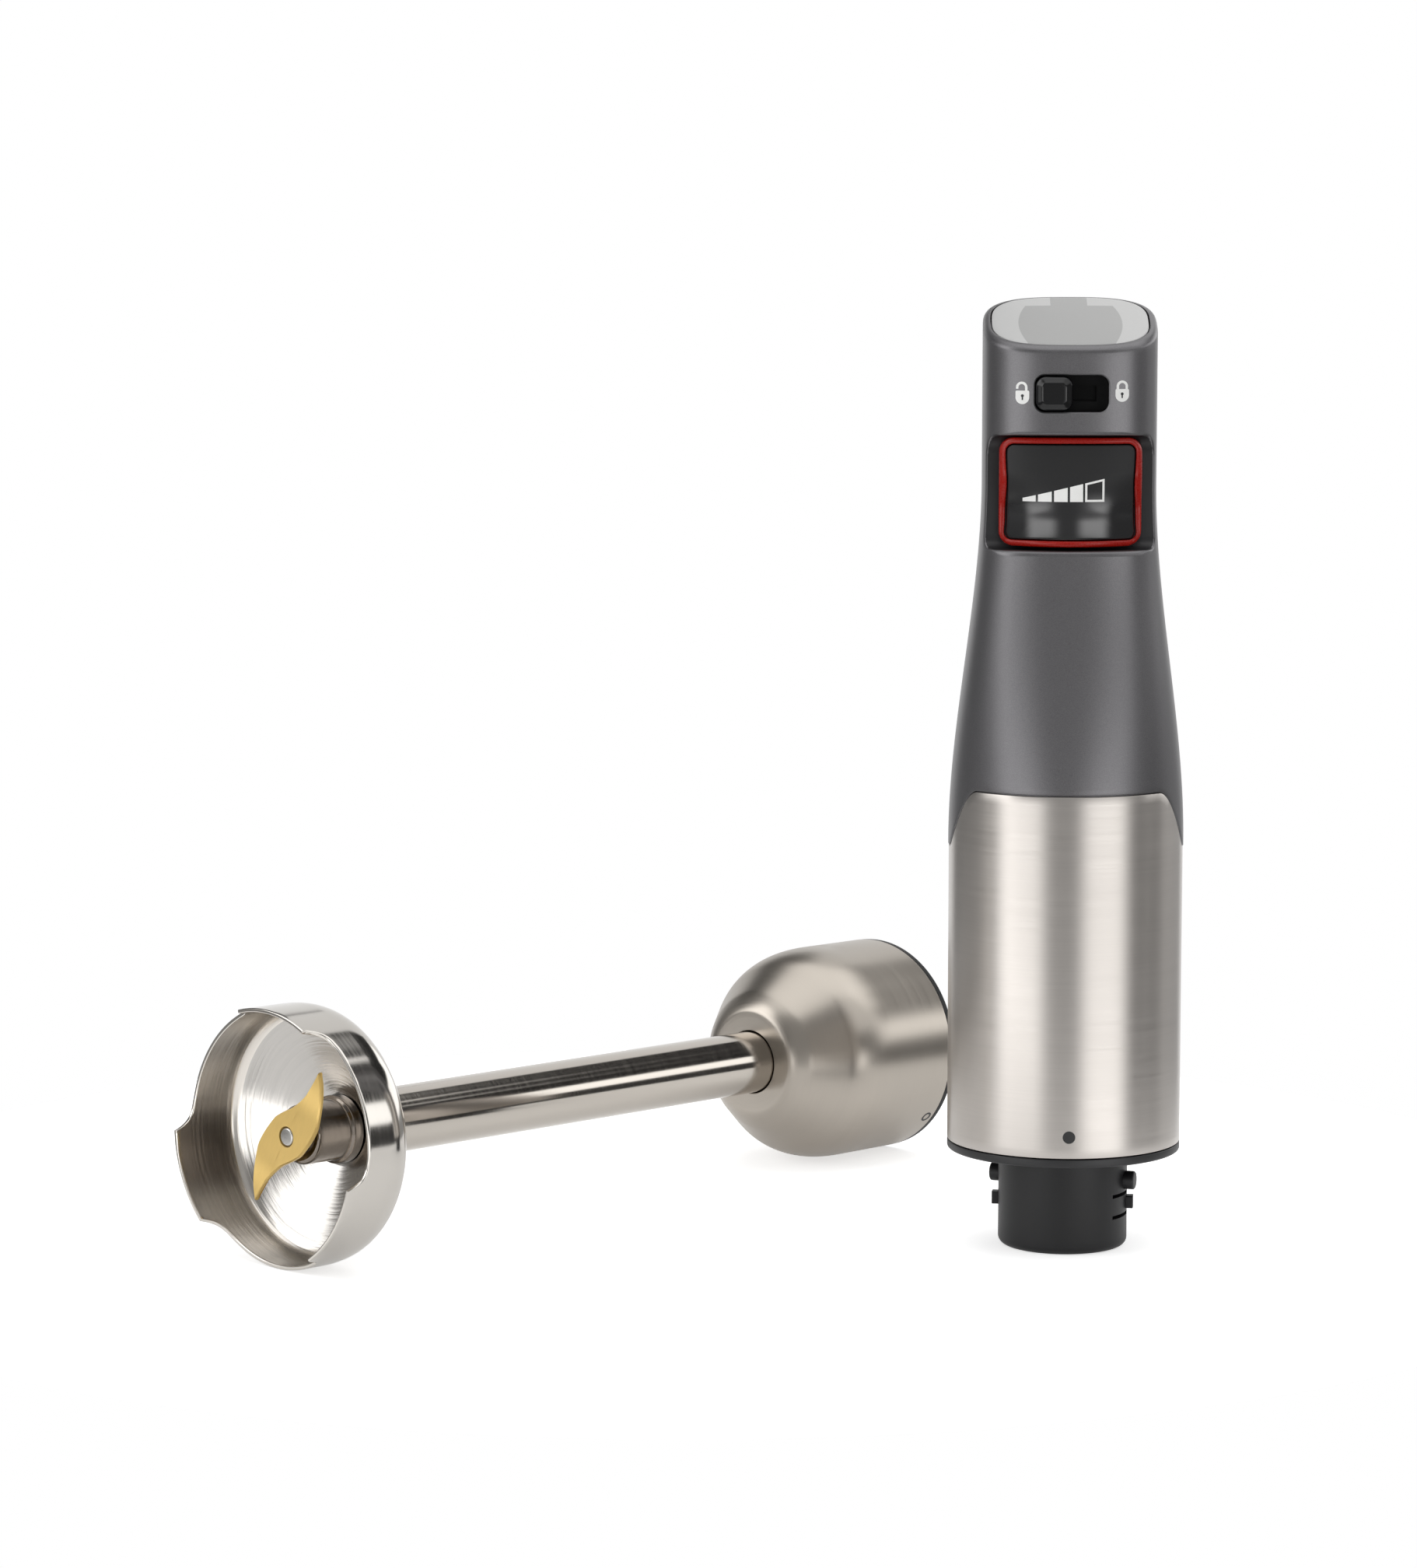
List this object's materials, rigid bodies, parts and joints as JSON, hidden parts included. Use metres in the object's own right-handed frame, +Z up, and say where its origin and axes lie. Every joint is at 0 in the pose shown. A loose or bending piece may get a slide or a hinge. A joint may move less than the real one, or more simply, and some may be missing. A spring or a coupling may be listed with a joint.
{
  "type": "immersion blender",
  "caption": "Hand blender: upright motor unit with trigger, lock slider and bayonet collar, and its detached steel blending shaft with bell guard and blade lying beside it.",
  "frame": {"origin": "on the floor that the motor unit stands on and the blending shaft lies on, under the middle of the set", "axes": "+Z up along the motor unit; the trigger faces -Y; the blending shaft lies to the -X side, bell towards -X and -Y"},
  "size_m": [0.2494, 0.2122, 0.2362],
  "materials": {
    "housing": "satin metallic dark grey",
    "steel": "satin brushed stainless steel",
    "polished": "polished stainless steel",
    "black": "matte black",
    "gloss": "glossy black",
    "red": "dark red",
    "cap": "silver grey, lightly glossy",
    "gold": "gold coloured coating on steel",
    "copper": "enamelled copper",
    "brass": "plain",
    "iron": "stacked sheet",
    "bearing": "ground",
    "carbon": "matte",
    "board": "green board",
    "frame": "natural nylon",
    "rubber": "matte"
  },
  "bodies": {
    "motor_unit": {"front_shell": "housing", "back_shell": "housing", "shell_screw_upper_left": "steel", "shell_screw_upper_right": "steel", "shell_screw_lower_left": "steel", "shell_screw_lower_right": "steel", "top_cap": "cap", "trigger_pin": "steel", "trigger_spring": "steel", "lock_tray": "black", "steel_sleeve": "steel", "base_ring": "black", "coupling_collar": "black", "collar_screw_1": "steel", "collar_screw_2": "steel", "collar_screw_3": "steel", "lower_bracket": "frame", "upper_bracket": "frame", "lower_bearing": "bearing", "upper_bearing": "bearing", "through_bolt_1": "steel", "through_bolt_2": "steel", "stator_core": "iron", "field_coil_1": "copper", "field_coil_2": "copper", "brush_holder_1": "brass", "carbon_brush_1": "carbon", "brush_holder_2": "brass", "carbon_brush_2": "carbon", "control_board": "board", "board_frame": "frame", "power_triac": "black", "noise_capacitor": "cap", "choke_coil": "copper", "travel_sensor": "black", "cord_gland": "rubber"},
    "trigger": {"trigger_cover": "gloss", "trigger_rim": "red"},
    "lock": {"lock_slider": "black"},
    "rotor": {"motor_shaft": "steel", "armature_core": "iron", "armature_winding": "copper", "commutator": "copper", "cooling_fan": "frame", "drive_coupling": "black"},
    "blending_shaft": {"coupling_cone": "steel", "cone_liner": "black", "shaft_tube": "polished", "bell_guard": "polished", "bell_hub": "steel", "lower_bush": "brass", "upper_bush": "brass", "shaft_seal": "rubber"},
    "blade_drive": {"drive_rod": "steel", "driven_coupling": "black", "blade": "gold"}
  },
  "joints": [
    {"name": "trigger_press", "type": "hinge", "parent": "motor_unit", "child": "trigger", "pos_m": [0.09557, -0.0542, 0.1958], "axis": [1, 0, 0], "range_deg": [0, 5], "stiffness_Nm_per_rad": 0.4, "springref_deg": -5.73, "deforming": ["trigger_spring"]},
    {"name": "lock_slide", "type": "slide", "parent": "motor_unit", "child": "lock", "axis": [1, 0, 0], "range_m": [0, 0.0084]},
    {"name": "motor_spin", "type": "hinge", "parent": "motor_unit", "child": "rotor", "pos_m": [0.09557, -0.0407, 0.066], "axis": [0, 0, 1], "continuous": true},
    {"name": "shaft_lift", "type": "slide", "parent": "motor_unit", "child": "blending_shaft", "axis": [0, 0, 1], "range_m": [0, 0.12]},
    {"name": "blade_spin", "type": "hinge", "parent": "blending_shaft", "child": "blade_drive", "pos_m": [-0.03034, -0.00366, 0.03083], "axis": [-0.6476, -0.7618, 0.0169], "continuous": true}
  ]
}
